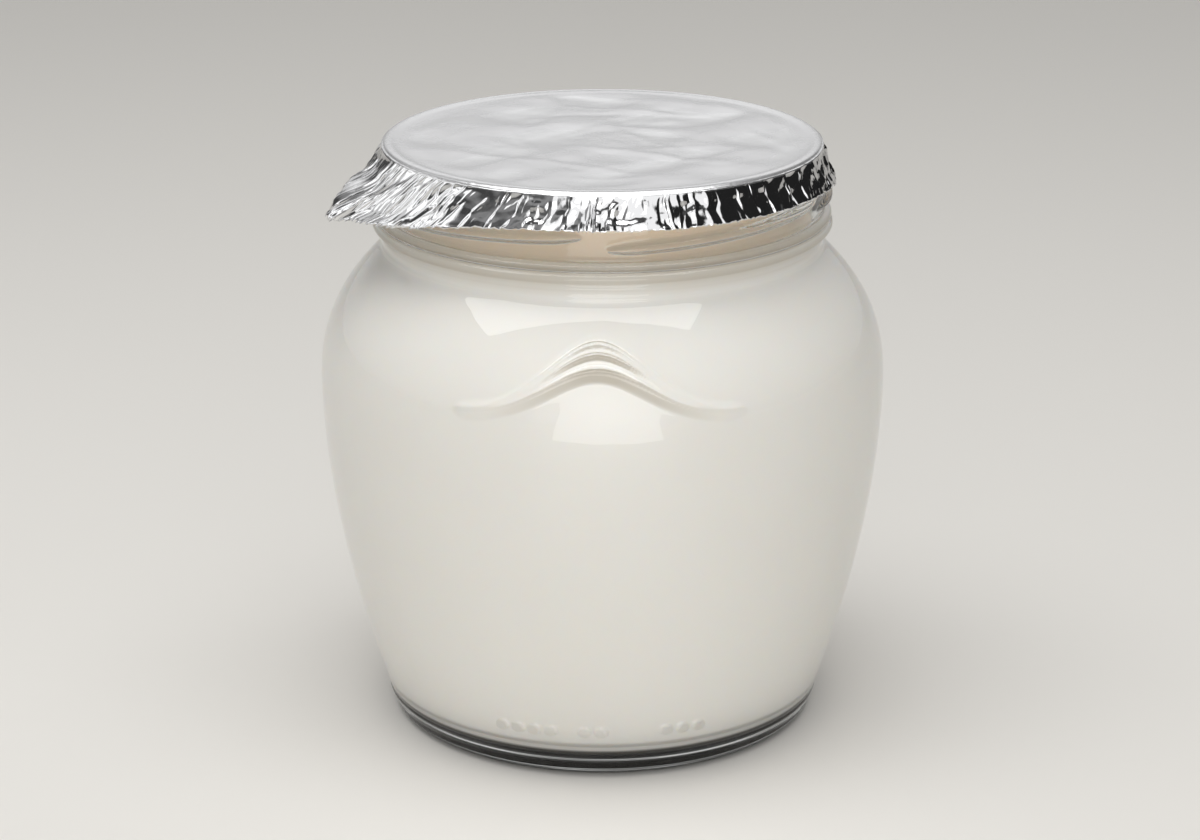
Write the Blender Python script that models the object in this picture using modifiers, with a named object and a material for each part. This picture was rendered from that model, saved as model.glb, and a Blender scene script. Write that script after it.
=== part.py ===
# A pot of yogurt: a bellied glass jar, the yogurt in it, and a crimped foil lid with a pull tab.
# Metres, +Z up. The origin is on the jar's axis, in the plane that its foot stands on. -Y is the front.

import math

import bmesh
import bpy
from mathutils import Matrix, Vector

MM = 0.001

# Belly of the jar: radius at the widest height, and how it falls away below and above
WIDE_R = 50.05 * MM
WIDE_Z = 61.6 * MM
LOWER_FALL = 12.5 * MM
LOWER_POWER = 1.78
UPPER_FALL = 12.46 * MM
UPPER_POWER = 2.436
UPPER_RUN = 25.4 * MM

# Foot: a flat ring to stand on, a rounded heel outside it and a shallow recess inside it
HEEL_Z = 2.2 * MM
FOOT_OUT_R = 35.4 * MM
FOOT_IN_R = 31.6 * MM
RECESS_R = 28.6 * MM
RECESS_Z = 1.4 * MM

# Neck, from the shoulder's end up to the rim
SHOULDER_END_Z = 85.2 * MM
WAIST_R = 38.8 * MM
WAIST_Z = 87.0 * MM
# Bead with two crests: the height, half height and stand-out of each, and the turns at which it is drawn
BEAD_CRESTS = (
    (91.95 * MM, 0.95 * MM, 1.35 * MM, (75, 35, -5, -45)),
    (90.25 * MM, 1.05 * MM, 1.6 * MM, (45, 5, -35, -75)),
)
FINISH_R = 39.2 * MM
FINISH_LOW_Z = 93.2 * MM
FINISH_TOP_Z = 98.3 * MM
LIP_R = 38.0 * MM
LIP_Z = 102.6 * MM
RIM_Z = 104.2 * MM
BORE_R = 36.6 * MM

# Glass wall and floor
WALL = 2.5 * MM
FLOOR_Z = 4.3 * MM
FLOOR_CORNER_Z = 6.2 * MM
CAVITY_END_Z = 83.4 * MM
BORE_CORNER_Z = 84.7 * MM
BORE_END_Z = 86.6 * MM

# Closure lugs: short slanting ridges round the neck
LUG_COUNT = 5
LUG_START = math.radians(1.0)
LUG_SWEEP = math.radians(66.0)
LUG_LOW_Z = 95.1 * MM
LUG_RISE = 2.2 * MM
LUG_BAR_R = 0.9 * MM
LUG_CENTRE_R = 39.5 * MM
LUG_POINTS = 10
LUG_END_SHARE = 0.15
LUG_END_SIZE = 0.4

# Moulded arches on the shoulder: nested bell curves that run together in one tail on each side
ARCH_TAIL_Z = 69.5 * MM
ARCH_SPREAD = math.radians(15.4)
ARCH_HALF_SWEEP = math.radians(29.3)
ARCH_POINTS = 24
ARCH_END_SHARE = 0.06
ARCH_END_SIZE = 0.6
# Each arch: height over its tails, half width and how far it stands out of the glass
ARCHES = (
    (11.0 * MM, 0.88 * MM, 0.60 * MM),
    (9.3 * MM, 0.85 * MM, 0.60 * MM),
    (6.9 * MM, 1.40 * MM, 0.80 * MM),
)

# Mould dots: groups of small pips round the heel, as first angle in degrees and number
DOT_GROUPS = ((-25.5, 4), (-4.5, 2), (16.0, 3))
DOT_STEP = 4.2
DOT_Z = 9.4 * MM
DOT_R = 1.1 * MM
DOT_SUNK = 0.75 * MM

# Yogurt
GAP = 0.3 * MM
FILL_Z = 91.0 * MM
MENISCUS = 0.6 * MM
MENISCUS_RUN = 2.5 * MM
MENISCUS_POINTS = 2

# Foil lid, measured on its outer face
FOIL = 0.35 * MM
LID_TOP_Z = 104.9 * MM
LID_FLAT_R = 37.3 * MM
LID_EDGE_R = 38.15 * MM
LID_EDGE_Z = 104.7 * MM
FOLD_R = 38.5 * MM
FOLD_Z = 104.15 * MM
SKIRT_DROP = 5.5 * MM
SKIRT_FLARE = 2.2 * MM
SKIRT_POWER = 1.3
SKIRT_BANDS = 6
# The skirt's edge hangs lower at the right
SAG_ANGLE = math.radians(93.0)
SAG_SWEEP = math.radians(18.0)
SAG_DROP = 1.3 * MM
# Pleats crimped into the skirt: how many, how deep, and the waves in which they are deeper and shallower
PLEATS = 48
PLEAT_DEPTH = 0.7 * MM
PLEAT_WAVES = ((5, 0.25), (13, 0.2))
# Pull tab, a tongue of the skirt: at each angle, how far its edge stands out and how much lower it hangs
TAB_EDGE = (
    (math.radians(-102.0), 0.0 * MM, 0.0 * MM),
    (math.radians(-95.0), 0.4 * MM, 0.7 * MM),
    (math.radians(-91.0), 1.5 * MM, 1.7 * MM),
    (math.radians(-87.0), 3.7 * MM, 2.75 * MM),
    (math.radians(-84.0), 5.2 * MM, 3.4 * MM),
    (math.radians(-81.0), 6.6 * MM, 4.4 * MM),
    (math.radians(-78.0), 7.9 * MM, 5.1 * MM),
    (math.radians(-75.0), 8.1 * MM, 5.5 * MM),
    (math.radians(-71.0), 5.0 * MM, 4.9 * MM),
    (math.radians(-57.0), 2.8 * MM, 3.85 * MM),
    (math.radians(-45.0), 1.2 * MM, 2.3 * MM),
    (math.radians(-32.5), 0.2 * MM, 0.85 * MM),
    (math.radians(-22.0), 0.0 * MM, 0.25 * MM),
    (math.radians(-12.0), 0.0 * MM, 0.0 * MM),
)
TAB_POWER = 1.25
# The tab's ridge leaves the fold at one angle and meets the edge at another
RIDGE_TOP = math.radians(-55.0)
RIDGE_END = math.radians(-71.0)

# Facets round the turned pieces and the lid, and rings of points down the jar's curves
JAR_STEPS = 60
LID_STEPS = 96
BELLY_RINGS = 6
SHOULDER_RINGS = 4
BEND_RINGS = 3
MERGE = 0.00001


def clear_scene():
    for thing in list(bpy.data.objects):
        bpy.data.objects.remove(thing, do_unlink=True)


def collection(name):
    group = bpy.data.collections.new(name)
    bpy.context.scene.collection.children.link(group)
    return group


def material(name, colour, roughness, metallic=0.0, transmission=0.0):
    made = bpy.data.materials.new(name)
    made.use_nodes = True
    shader = made.node_tree.nodes["Principled BSDF"]
    shader.inputs["Base Color"].default_value = (*colour, 1.0)
    shader.inputs["Roughness"].default_value = roughness
    shader.inputs["Metallic"].default_value = metallic
    shader.inputs["Transmission Weight"].default_value = transmission
    made.diffuse_color = (*colour, 1.0)
    return made


# Small geometry helpers


def bend(start, corner, end, count):
    # Points after start on the quadratic curve that leaves start and reaches end along their lines to corner
    points = []
    for i in range(1, count + 1):
        t = i / count
        weights = ((1 - t) ** 2, 2 * t * (1 - t), t * t)
        knots = tuple(zip(weights, (start, corner, end)))
        points.append(tuple(sum(weight * knot[k] for weight, knot in knots) for k in (0, 1)))
    return points


def belly_radius(z):
    if z < WIDE_Z:
        return WIDE_R - LOWER_FALL * ((WIDE_Z - z) / WIDE_Z) ** LOWER_POWER
    return WIDE_R - UPPER_FALL * ((z - WIDE_Z) / UPPER_RUN) ** UPPER_POWER


def belly_slope(z):
    step = 0.01 * MM
    return (belly_radius(z + step) - belly_radius(z - step)) / (2 * step)


def even_heights(low, high, count):
    return [low + (high - low) * i / count for i in range(count + 1)]


def on_belly(angle, z, out):
    # A point at this angle from the front and height, moved out along the belly's normal
    slope = belly_slope(z)
    length = math.hypot(1.0, slope)
    radius = belly_radius(z) + out / length
    return Vector((radius * math.sin(angle), -radius * math.cos(angle), z - out * slope / length))


def mesh_from(thing, name):
    # The evaluated shape of an object as a plain mesh object, which takes its place
    bpy.context.view_layer.update()
    shape = bpy.data.meshes.new_from_object(thing.evaluated_get(bpy.context.evaluated_depsgraph_get()))
    made = bpy.data.objects.new(name, shape)
    made.matrix_world = thing.matrix_world.copy()
    bpy.data.objects.remove(thing, do_unlink=True)
    work = bmesh.new()
    work.from_mesh(shape)
    bmesh.ops.remove_doubles(work, verts=work.verts, dist=MERGE)
    bmesh.ops.recalc_face_normals(work, faces=work.faces)
    work.to_mesh(shape)
    work.free()
    return made


def turned(name, profile, steps):
    # A solid of revolution from (radius, height) points that run up the inside and down the outside
    shape = bpy.data.meshes.new(name)
    shape.from_pydata([(r, 0.0, z) for r, z in profile], [(i, i + 1) for i in range(len(profile) - 1)], [])
    outline = bpy.data.objects.new(name + "_profile", shape)
    bpy.context.scene.collection.objects.link(outline)
    screw = outline.modifiers.new("Turn", "SCREW")
    screw.steps = steps
    screw.render_steps = steps
    screw.use_merge_vertices = True
    screw.merge_threshold = MERGE
    return mesh_from(outline, name)


def ridge(name, points, radii, sides):
    # A closed round bar through the points
    path = bpy.data.curves.new(name, "CURVE")
    path.dimensions = "3D"
    path.bevel_depth = 1.0
    path.bevel_resolution = sides
    path.use_fill_caps = True
    spline = path.splines.new("POLY")
    spline.points.add(len(points) - 1)
    for knot, place, radius in zip(spline.points, points, radii):
        knot.co = (*place, 1.0)
        knot.radius = radius
    bar = bpy.data.objects.new(name, path)
    bpy.context.scene.collection.objects.link(bar)
    return mesh_from(bar, name)


def taper(t, end_share, end_size):
    # 1 along the middle of a bar, rounding off to end_size over end_share of it at each end
    edge = min(t, 1 - t) / end_share
    if edge >= 1:
        return 1.0
    return end_size + (1 - end_size) * math.sqrt(1 - (1 - edge) ** 2)


def fuse(target, pieces):
    # One union of the target with every piece
    group = collection("fused")
    for piece in pieces:
        group.objects.link(piece)
    union = target.modifiers.new("Fuse", "BOOLEAN")
    union.operation = "UNION"
    union.operand_type = "COLLECTION"
    union.collection = group
    union.solver = "EXACT"
    bpy.context.view_layer.update()
    shape = bpy.data.meshes.new_from_object(target.evaluated_get(bpy.context.evaluated_depsgraph_get()))
    target.modifiers.clear()
    target.data = shape
    for piece in pieces:
        bpy.data.objects.remove(piece, do_unlink=True)
    bpy.data.collections.remove(group)


def finish(thing, surface, sharp_degrees):
    thing.data.materials.clear()
    thing.data.materials.append(surface)
    thing.data.shade_smooth()
    thing.data.set_sharp_from_angle(angle=math.radians(sharp_degrees))


# Glass jar


def outer_wall():
    # From the rim down to the middle of the underside
    lip_half = (LIP_R - BORE_R) / 2
    rim = []
    for turn in (135, 90, 45, 0):
        a = math.radians(turn)
        rim.append(((LIP_R + BORE_R) / 2 + lip_half * math.cos(a), LIP_Z + (RIM_Z - LIP_Z) * math.sin(a)))
    neck = [(FINISH_R, FINISH_TOP_Z), (FINISH_R, FINISH_LOW_Z)]
    bead = []
    for z, half, out, crest_turns in BEAD_CRESTS:
        for turn in crest_turns:
            a = math.radians(turn)
            bead.append((WAIST_R + out * math.cos(a), z + half * math.sin(a)))
    waist = (WAIST_R, WAIST_Z)
    shoulder_end = (belly_radius(SHOULDER_END_Z), SHOULDER_END_Z)
    corner = (WAIST_R, SHOULDER_END_Z + (WAIST_R - shoulder_end[0]) / belly_slope(SHOULDER_END_Z))
    shoulder = bend(waist, corner, shoulder_end, BEND_RINGS)
    belly = even_heights(HEEL_Z, WIDE_Z, BELLY_RINGS)[:-1]
    belly += even_heights(WIDE_Z, SHOULDER_END_Z, SHOULDER_RINGS)[:-1]
    belly = [(belly_radius(z), z) for z in reversed(belly)]
    heel_corner = (belly_radius(0.0), 0.0)
    heel = bend(belly[-1], heel_corner, (FOOT_OUT_R, 0.0), BEND_RINGS)
    under = [(FOOT_IN_R, 0.0), (RECESS_R, RECESS_Z), (0.0, RECESS_Z)]
    return rim + neck + bead + [waist] + shoulder + belly + heel + under


def cavity_radius(z):
    # Inner radius of the belly, one wall thickness inside the outer face
    return belly_radius(z) - WALL * math.hypot(1.0, belly_slope(z))


def cavity(inset, top_points):
    # From the middle of the floor up the inside, drawn in by inset all round, and on through top_points
    low = (cavity_radius(FLOOR_CORNER_Z) - inset, FLOOR_CORNER_Z)
    floor_end = (low[0] - (FLOOR_CORNER_Z - FLOOR_Z), FLOOR_Z + inset)
    floor_corner = (cavity_radius(FLOOR_Z) - inset, FLOOR_Z + inset)
    floor = [(0.0, FLOOR_Z + inset), floor_end] + bend(floor_end, floor_corner, low, BEND_RINGS)
    heights = even_heights(FLOOR_CORNER_Z, WIDE_Z, BELLY_RINGS - 1)[1:]
    heights += even_heights(WIDE_Z, CAVITY_END_Z, SHOULDER_RINGS)[1:]
    wall = [(cavity_radius(z) - inset * math.hypot(1.0, belly_slope(z)), z) for z in heights]
    bore = BORE_R - inset
    throat = bend(wall[-1], (bore, BORE_CORNER_Z), (bore, BORE_END_Z), BEND_RINGS)
    return floor + wall + throat + top_points


def closure_lug(index):
    points, radii = [], []
    for i in range(LUG_POINTS + 1):
        t = i / LUG_POINTS
        angle = LUG_START + index * math.tau / LUG_COUNT + LUG_SWEEP * t
        z = LUG_LOW_Z + LUG_RISE * t
        points.append((LUG_CENTRE_R * math.sin(angle), -LUG_CENTRE_R * math.cos(angle), z))
        radii.append(LUG_BAR_R * taper(t, LUG_END_SHARE, LUG_END_SIZE))
    return ridge(f"lug_{index}", points, radii, 1)


def arch(index, height, half_width, stands_out):
    # A bar whose chord in the glass is twice half_width and whose crest stands out by stands_out
    bar_r = (half_width**2 + stands_out**2) / (2 * stands_out)
    points, radii = [], []
    for i in range(ARCH_POINTS + 1):
        t = i / ARCH_POINTS
        size = taper(t, ARCH_END_SHARE, ARCH_END_SIZE)
        angle = ARCH_HALF_SWEEP * (2 * t - 1)
        z = ARCH_TAIL_Z + height * math.exp(-((angle / ARCH_SPREAD) ** 2))
        points.append(on_belly(angle, z, (stands_out - bar_r) * size))
        radii.append(bar_r * size)
    return ridge(f"arch_{index}", points, radii, 2)


def mould_dot(angle):
    place = Matrix.Translation(on_belly(angle, DOT_Z, -DOT_SUNK))
    work = bmesh.new()
    bmesh.ops.create_uvsphere(work, u_segments=8, v_segments=6, radius=DOT_R, matrix=place)
    shape = bpy.data.meshes.new("mould_dot")
    work.to_mesh(shape)
    work.free()
    return bpy.data.objects.new("mould_dot", shape)


def make_jar(group):
    rim_edge = [(BORE_R, LIP_Z)]
    jar = turned("jar", cavity(0.0, rim_edge) + outer_wall(), JAR_STEPS)
    group.objects.link(jar)
    pieces = [closure_lug(i) for i in range(LUG_COUNT)]
    pieces += [arch(i, *sizes) for i, sizes in enumerate(ARCHES)]
    for first, count in DOT_GROUPS:
        pieces += [mould_dot(math.radians(first + DOT_STEP * i)) for i in range(count)]
    fuse(jar, pieces)
    finish(jar, material("glass", (0.93, 0.95, 0.94), 0.02, transmission=1.0), 35.0)
    return jar


# Yogurt


def make_yogurt(group):
    # The surface climbs a little to the wall
    wall_r = BORE_R - GAP
    surface = []
    for i in range(MENISCUS_POINTS + 1):
        t = i / MENISCUS_POINTS
        surface.append((wall_r - MENISCUS_RUN * t, FILL_Z + MENISCUS * (1 - t) ** 2))
    surface.append((0.0, FILL_Z))
    yogurt = turned("yogurt", cavity(GAP, surface), JAR_STEPS)
    group.objects.link(yogurt)
    finish(yogurt, material("yogurt", (0.86, 0.83, 0.77), 0.35), 40.0)
    return yogurt


# Foil lid


def leaned(angle, s):
    # The skirt's folds lean with the tab's ridge
    back, front = TAB_EDGE[0][0], TAB_EDGE[-1][0]
    ridge = RIDGE_TOP + (RIDGE_END - RIDGE_TOP) * s
    if back < angle < RIDGE_TOP:
        return back + (angle - back) * (ridge - back) / (RIDGE_TOP - back)
    if RIDGE_TOP <= angle < front:
        return front - (front - angle) * (front - ridge) / (front - RIDGE_TOP)
    return angle


def tab_edge(angle):
    # How far the edge stands out and hangs down at this angle
    for before, after in zip(TAB_EDGE, TAB_EDGE[1:]):
        if before[0] <= angle < after[0]:
            t = (angle - before[0]) / (after[0] - before[0])
            return tuple(a + (b - a) * t for a, b in zip(before[1:], after[1:]))
    return 0.0, 0.0


def skirt_point(angle, s):
    # s runs from 0 at the fold to 1 at the skirt's edge
    strength = 1 - sum(share * (1 - math.cos(count * angle + count)) for count, share in PLEAT_WAVES)
    pleat = PLEAT_DEPTH * strength * math.cos(PLEATS * angle)
    angle = leaned(math.remainder(angle, math.tau), s)
    out, hang = tab_edge(angle)
    sag = SAG_DROP * math.exp(-((math.remainder(angle - SAG_ANGLE, math.tau) / SAG_SWEEP) ** 2))
    radius = FOLD_R + SKIRT_FLARE * s**SKIRT_POWER + pleat * s + out * s**TAB_POWER
    z = FOLD_Z - (SKIRT_DROP + sag + hang) * s
    return (radius * math.sin(angle), -radius * math.cos(angle), z)


def make_lid(group):
    # Rings of points from the flat top's edge to the skirt's edge, the top closed by one flat face
    points = []
    turns = [i * math.tau / LID_STEPS for i in range(LID_STEPS)]
    for radius, z in ((LID_FLAT_R, LID_TOP_Z), (LID_EDGE_R, LID_EDGE_Z)):
        points += [(radius * math.sin(turn), -radius * math.cos(turn), z) for turn in turns]
    for band in range(SKIRT_BANDS + 1):
        points += [skirt_point(turn, band / SKIRT_BANDS) for turn in turns]
    faces = [tuple(range(LID_STEPS))]
    for ring in range(len(points) // LID_STEPS - 1):
        inner, outer = ring * LID_STEPS, (ring + 1) * LID_STEPS
        for i in range(LID_STEPS):
            after = (i + 1) % LID_STEPS
            faces.append((inner + i, outer + i, outer + after, inner + after))
    shape = bpy.data.meshes.new("foil_lid")
    shape.from_pydata(points, [], faces)
    lid = bpy.data.objects.new("foil_lid", shape)
    group.objects.link(lid)
    thicken = lid.modifiers.new("Thickness", "SOLIDIFY")
    thicken.thickness = FOIL
    thicken.offset = -1.0
    finish(lid, material("foil", (0.80, 0.80, 0.80), 0.22, metallic=1.0), 12.0)
    return lid


def main():
    clear_scene()
    group = collection("yogurt_jar")
    make_jar(group)
    make_yogurt(group)
    make_lid(group)


main()
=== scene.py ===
import math
import random

import bmesh
import bpy
import numpy as np
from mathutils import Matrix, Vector


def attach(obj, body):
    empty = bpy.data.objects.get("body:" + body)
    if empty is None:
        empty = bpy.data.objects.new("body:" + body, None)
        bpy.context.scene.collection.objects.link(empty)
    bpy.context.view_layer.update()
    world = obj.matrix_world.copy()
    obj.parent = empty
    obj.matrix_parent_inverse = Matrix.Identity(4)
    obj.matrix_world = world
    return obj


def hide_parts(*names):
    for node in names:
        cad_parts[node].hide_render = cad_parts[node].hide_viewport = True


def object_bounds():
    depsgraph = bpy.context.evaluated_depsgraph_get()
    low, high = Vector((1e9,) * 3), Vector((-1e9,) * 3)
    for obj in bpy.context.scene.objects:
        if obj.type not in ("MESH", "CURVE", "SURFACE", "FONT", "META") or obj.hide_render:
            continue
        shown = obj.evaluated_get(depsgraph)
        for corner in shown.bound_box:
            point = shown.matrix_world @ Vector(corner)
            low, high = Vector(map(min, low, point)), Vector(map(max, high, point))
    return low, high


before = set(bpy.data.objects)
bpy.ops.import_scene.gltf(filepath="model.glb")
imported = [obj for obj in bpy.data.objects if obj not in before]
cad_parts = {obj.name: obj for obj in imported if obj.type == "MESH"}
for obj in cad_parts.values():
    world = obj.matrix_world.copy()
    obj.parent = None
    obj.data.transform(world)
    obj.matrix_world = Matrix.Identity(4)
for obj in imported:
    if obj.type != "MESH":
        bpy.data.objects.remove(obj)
cad_low, cad_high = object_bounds()

# Sizes are in millimetres, except in the materials and the studio, which are in metres
MM = 0.001

# Belly: two curves that meet at the widest height
WIDE_R = round(cad_high[0] / MM, 2)
WIDE_Z = 61.6
LOWER_FALL = 12.5
LOWER_POWER = 1.78
UPPER_FALL = 12.46
UPPER_POWER = 2.436
UPPER_RUN = 25.4
# Foot
HEEL_Z = 2.2
FOOT_OUT_R = 35.4
FOOT_IN_R = 31.6
FOOT_ROUND = 0.9
FOOT_ROUND_Z = 0.42
RECESS_R = 28.6
RECESS_Z = 1.4
RECESS_ROUND = 1.0
# Neck
SHOULDER_END_Z = 85.2
WAIST_R = 38.8
WAIST_Z = 87.0
WAIST_END_Z = 89.1
# Bead with two crests: height, half height, stand-out, and the turns at which it starts and ends
BEAD_CRESTS = ((90.25, 1.05, 1.6, -80, 45), (91.95, 0.95, 1.35, -45, 80))
BEAD_STEP = 5
FINISH_R = 39.2
FINISH_LEAN = 0.045
FINISH_LOW_Z = 93.2
FINISH_TOP_Z = 98.3
LIP_R = 38.0
LIP_Z = 102.6
RIM_Z = 104.2
# The rim's turns in degrees: the outer wall ends at the middle one
RIM_TURNS = (0, 120, 180)
RIM_STEP = 15
BORE_R = 36.6
# Inside
WALL = 2.5
FLOOR_Z = 4.3
FLOOR_CORNER_Z = 6.2
BORE_CORNER_Z = 84.7
BORE_END_Z = 86.6
CAVITY_END_Z = 83.4
# The wall wanders this much, and lies this far inside its outline, away from the belly's ends
WANDER = 0.012
WALL_IN = 0.03
WANDER_FADE = 6.0
# Closure lugs
LUG_COUNT = 5
LUG_START = math.radians(1.0)
LUG_SWEEP = math.radians(66.0)
LUG_LOW_Z = 95.1
LUG_RISE = 2.2
LUG_HALF = 1.05
LUG_OUT = 1.2
LUG_END_SHARE = 0.15
LUG_END_SIZE = 0.1
LUG_ZONE = (FINISH_LOW_Z, FINISH_TOP_Z + 0.3)
# Arched relief: crest's height over the tails, run above the crest, run below it, stands out
ARCH_TURN = math.radians(-1.0)
ARCH_TAIL_Z = 68.5
ARCH_SPREAD = math.radians(15.4)
ARCH_HALF_SWEEP = math.radians(29.3)
ARCHES = ((11.8, 0.60, 1.10, 0.90), (10.3, 0.75, 1.20, 0.98), (7.8, 1.50, 2.10, 1.18))
ARCH_POINTS = 181
ARCH_END_SHARE = 0.06
ARCH_END_SIZE = 0.45
# The tails' width and stand-out as a share of the hump's
TAIL_WIDTH = 0.84
TAIL_OUT = 0.55
ARCH_ZONE = (66.0, 83.2)
FRONT_HALF = math.radians(32.0)
# Mould marks: first angle in degrees and number of each group
DOT_GROUPS = ((-25.5, 4), (-4.5, 2), (16.0, 3))
DOT_STEP = 4.2
DOT_Z = 9.4
DOT_HALF = 1.05
DOT_OUT = 0.45
DOT_ZONE = (7.8, 11.0)
# Fine ridges round the heel and the waist: height, half height, stands out, phase
RINGS = ((1.7, 0.38, 0.15, 0.6), (3.9, 0.60, 0.20, 1.9), (86.5, 0.42, 0.16, 0.3), (88.2, 0.42, 0.18, 2.4))
RING_WAVE = 0.12
RING_ZONES = ((0.8, 5.0), (85.5, 89.0))
# Rows of the walls: from, to and step, close together where there is relief
FINE_STEP = 0.3
DOT_ROWS = (7.8, 11.0, 0.28)
BELLY_ROWS = (
    (HEEL_Z, 5.0, 0.14), (5.0, 7.8, 0.8), DOT_ROWS, (11.0, 66.0, 2.6), (66.0, 83.0, FINE_STEP),
    (83.0, SHOULDER_END_Z, FINE_STEP),
)
PLAIN_ROWS = ((FLOOR_CORNER_Z, CAVITY_END_Z, 2.2),)
RELIEF_ROWS = (
    (FLOOR_CORNER_Z, 7.8, 0.8), DOT_ROWS, (11.0, 66.0, 2.2), (66.0, CAVITY_END_Z, FINE_STEP),
)
# Columns of the walls, in front where the relief is and round the rest
FRONT_COLUMNS = 141
REST_COLUMNS = 143
# Yogurt
FILL_Z = 91.0
MENISCUS = 0.6
MENISCUS_RUN = 2.5
MENISCUS_ROWS = 12
TOP_FLAT_ROWS = 24
INTO_WALL = 0.25
RELIEF_INSIDE = 0.9
# Foil lid
FOIL_THICK = 0.1
LID_TOP_Z = round(cad_high[2] / MM, 2)
DISC_R = 35.7
DISC_Z = LID_TOP_Z - 0.45
DISC_COLUMNS = 240
DISC_ROWS = 60
DISC_LIMIT = 0.36
DISC_FADE = 3.0
# Over the rim, from the disc to the fold: radius and distance below the lid's top
LID_RIM = (
    (36.2, 0.37), (36.6, 0.24), (36.95, 0.14), (37.3, 0.13), (37.65, 0.20), (37.95, 0.32), (38.16, 0.48),
    (38.36, 0.76),
)
RIM_DENT = 0.005
RIM_SINK = 0.01
FOLD_R = 38.5
FOLD_Z = LID_TOP_Z - 0.75
SKIRT_DROP = 5.5
SKIRT_FLARE = 2.2
SKIRT_POWER = 1.3
SKIRT_ROWS = 27
RAGGED = (-0.025, 0.03)
# The pull tab: angle in degrees, how far the skirt's edge stands out and how much lower it hangs
TAB_EDGE = np.array((
    (-102, 0, 0), (-95, 0.4, 0.7), (-91, 1.5, 1.7), (-87, 3.7, 2.75), (-84, 5.2, 3.4), (-81, 6.6, 4.4),
    (-78, 7.9, 5.1), (-75, 8.1, 5.5), (-71, 5.0, 4.9), (-57, 2.8, 3.85), (-45, 1.2, 2.3), (-32.5, 0.2, 0.85),
    (-22, 0, 0.25), (-12, 0, 0),
))
TAB_POWER = 1.25
# Behind this angle the tab's profile is bent, and the bend comes at this share of the way down
TAB_FOLD = -66.0
TAB_FOLD_RUN = 8.0
TAB_BEND = 0.53
TAB_BEND_RUN = 0.085
TAB_BEND_SHARE = 0.75
# The angles between which the crumple counts as the tab's
TAB_CRUMPLED = (-102.0, -36.0)
TAB_FADE = 12.0
# The tab's ridge in degrees, at the fold and at the edge
RIDGE_TOP = -55.0
RIDGE_END = -71.0
# The skirt hangs lower at the right hand side
SAG_ANGLE = math.radians(93.0)
SAG_SWEEP = math.radians(18.0)
SAG_DROP = 1.3
# Creases of the skirt: limits of what the dice give each one, in millimetres
CREASES = 136
KNOTS = 6
CELL_COLUMNS = 4
CELL_WIDTHS = ((0.9, 1.6), (1.6, 2.6), (2.2, 3.4))
# Even angles and where they move to, in degrees, so that creases crowd beside the tab
CROWD = ((-180, -110, -76, -24, 0, 180), (-180, -107, -68, -32, -4, 180))
CREASE_LEAN = 0.42
CREASE_GAP = 0.32
CREASE_RISE = (0.12, 0.34)
RIDGE_SHARE = 0.72
GROOVE_DEPTH = -0.8
CREASE_LEFT = (0.16, 0.36)
CREASE_RIGHT = (0.20, 0.52)
CREASE_FOOT_LIMIT = 0.36
CELL_LEVEL = 0.14
CELL_BULGE = (-0.16, 0.10)
FRONT_SPREAD = 0.4
FRONT_GAIN = 0.7


def belly_radius(z):
    if z < WIDE_Z:
        return WIDE_R - LOWER_FALL * ((WIDE_Z - z) / WIDE_Z) ** LOWER_POWER
    return WIDE_R - UPPER_FALL * ((z - WIDE_Z) / UPPER_RUN) ** UPPER_POWER


def belly_slope(z):
    step = 0.01
    return (belly_radius(z + step) - belly_radius(z - step)) / (2 * step)


def cavity_radius(z, out=0.0):
    # The inside of the wall, or this far into it
    return belly_radius(z) - (WALL - out) * math.hypot(1.0, belly_slope(z))


def bend(start, corner, end, count):
    points = []
    for i in range(count + 1):
        t = i / count
        weights = ((1 - t) ** 2, 2 * t * (1 - t), t * t)
        points.append(tuple(sum(w * p[k] for w, p in zip(weights, (start, corner, end))) for k in (0, 1)))
    return points


def line(start, end, count):
    return [tuple(a + (b - a) * i / count for a, b in zip(start, end)) for i in range(count + 1)]


def joined(*runs):
    # One run of points, without the doubles where two runs meet
    path = []
    for run in runs:
        for point in run:
            if not path or math.dist(path[-1], point) > 1e-4:
                path.append(point)
    return path


def heights(low, high, step):
    count = max(1, round((high - low) / step))
    return [low + (high - low) * i / count for i in range(count + 1)]


def within(z, zone):
    return zone[0] < z < zone[1]


def rim_path(first, last):
    # The rolled rim, from its outer side at 0 degrees over the top to the bore at 180
    middle, half = (LIP_R + BORE_R) / 2, (LIP_R - BORE_R) / 2
    path = []
    for degrees in range(first, last + 1, RIM_STEP):
        turn = math.radians(degrees)
        path.append((middle + half * math.cos(turn), LIP_Z + (RIM_Z - LIP_Z) * math.sin(turn)))
    return path


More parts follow.
